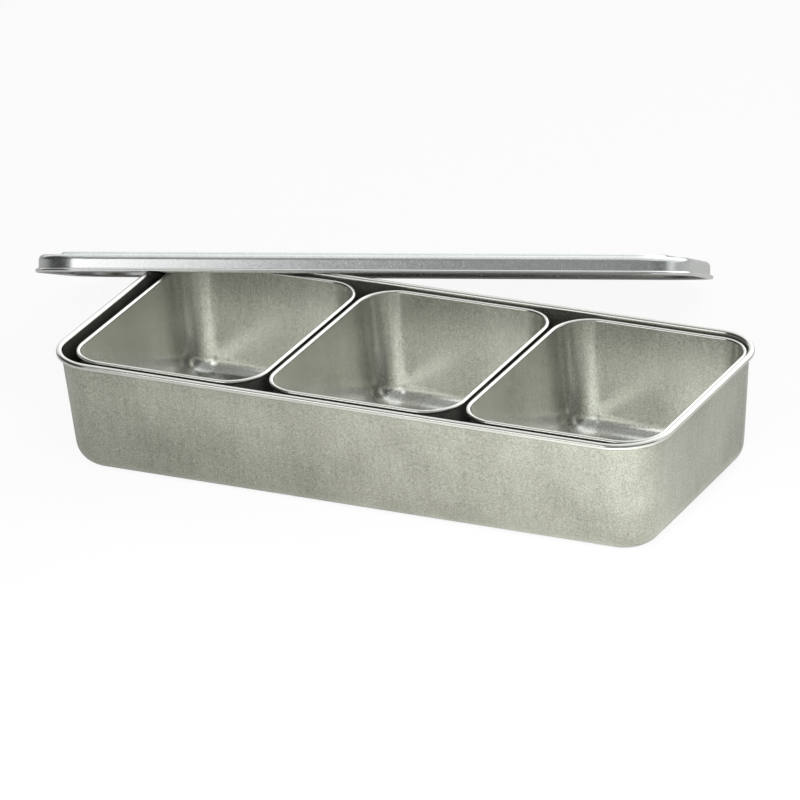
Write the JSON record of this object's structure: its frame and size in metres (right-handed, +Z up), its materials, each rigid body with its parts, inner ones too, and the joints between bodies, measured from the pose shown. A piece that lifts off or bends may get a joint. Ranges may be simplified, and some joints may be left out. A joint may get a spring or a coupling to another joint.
{
  "type": "condiment container",
  "caption": "Low rectangular steel pan with a rolled rim, a row of lift-out inner pans and a shallow lid leaning on the back of its rim.",
  "frame": {"origin": "middle of the outer pan's flat base, at the height of the surface it stands on", "axes": "+X to the right along the row of inner pans, +Y to the back, where the lid leans, +Z up"},
  "size_m": [0.4489, 0.3439, 0.0729],
  "materials": {
    "pan_steel": "satin",
    "inner_steel": "satin",
    "lid_steel": "satin"
  },
  "bodies": {
    "outer_pan": {"outer_pan": "pan_steel"},
    "inner_pan_left": {"inner_pan_left": "inner_steel"},
    "inner_pan_middle": {"inner_pan_middle": "inner_steel"},
    "inner_pan_right": {"inner_pan_right": "inner_steel"},
    "lid": {"lid": "lid_steel"}
  },
  "joints": [
    {"name": "inner_pan_left_lift", "type": "slide", "parent": "outer_pan", "child": "inner_pan_left", "axis": [0, 0, 1], "range_m": [0, 0.075]},
    {"name": "inner_pan_middle_lift", "type": "slide", "parent": "outer_pan", "child": "inner_pan_middle", "axis": [0, 0, 1], "range_m": [0, 0.075]},
    {"name": "inner_pan_right_lift", "type": "slide", "parent": "outer_pan", "child": "inner_pan_right", "axis": [0, 0, 1], "range_m": [0, 0.075]},
    {"name": "lid_lift", "type": "slide", "parent": "inner_pan_left", "child": "lid", "axis": [0, 0, 1], "range_m": [0, 0.075]}
  ]
}
